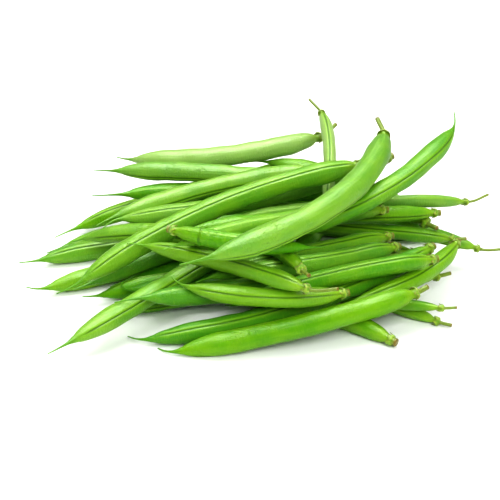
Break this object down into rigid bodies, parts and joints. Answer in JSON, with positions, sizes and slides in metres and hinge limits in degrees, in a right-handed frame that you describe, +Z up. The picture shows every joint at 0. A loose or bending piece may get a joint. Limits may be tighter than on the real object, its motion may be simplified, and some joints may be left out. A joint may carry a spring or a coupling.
{
  "type": "green bean bundle",
  "caption": "Loose heap of fresh green beans with tapered pods, curved beaks and small calyx and stalk ends, lying crosswise on each other on a flat table.",
  "frame": {"origin": "on the table under the middle of the heap's bounding box", "axes": "+Z up from the table, +X along most pods from their beaks to their stalk ends, -Y towards the viewer"},
  "size_m": [0.2408, 0.1704, 0.0717],
  "materials": {
    "pod_green": "satin, slightly velvety skin of a fresh green bean pod"
  },
  "bodies": {
    "root": {"bean_01": "pod_green", "bean_02": "pod_green", "bean_03": "pod_green", "bean_04": "pod_green", "bean_05": "pod_green", "bean_06": "pod_green", "bean_07": "pod_green", "bean_08": "pod_green", "bean_09": "pod_green", "bean_10": "pod_green", "bean_11": "pod_green", "bean_12": "pod_green", "bean_13": "pod_green", "bean_14": "pod_green", "bean_15": "pod_green", "bean_16": "pod_green", "bean_17": "pod_green", "bean_18": "pod_green", "bean_19": "pod_green", "bean_20": "pod_green", "bean_21": "pod_green", "bean_22": "pod_green", "bean_23": "pod_green", "bean_24": "pod_green", "bean_25": "pod_green", "bean_26": "pod_green", "bean_27": "pod_green", "bean_28": "pod_green", "bean_29": "pod_green", "bean_30": "pod_green", "bean_31": "pod_green", "bean_32": "pod_green", "bean_33": "pod_green", "bean_34": "pod_green", "bean_35": "pod_green", "bean_36": "pod_green", "bean_37": "pod_green", "bean_38": "pod_green", "bean_39": "pod_green", "bean_40": "pod_green", "bean_41": "pod_green", "bean_42": "pod_green", "bean_43": "pod_green", "bean_44": "pod_green", "bean_45": "pod_green", "bean_46": "pod_green", "bean_47": "pod_green"}
  },
  "joints": []
}
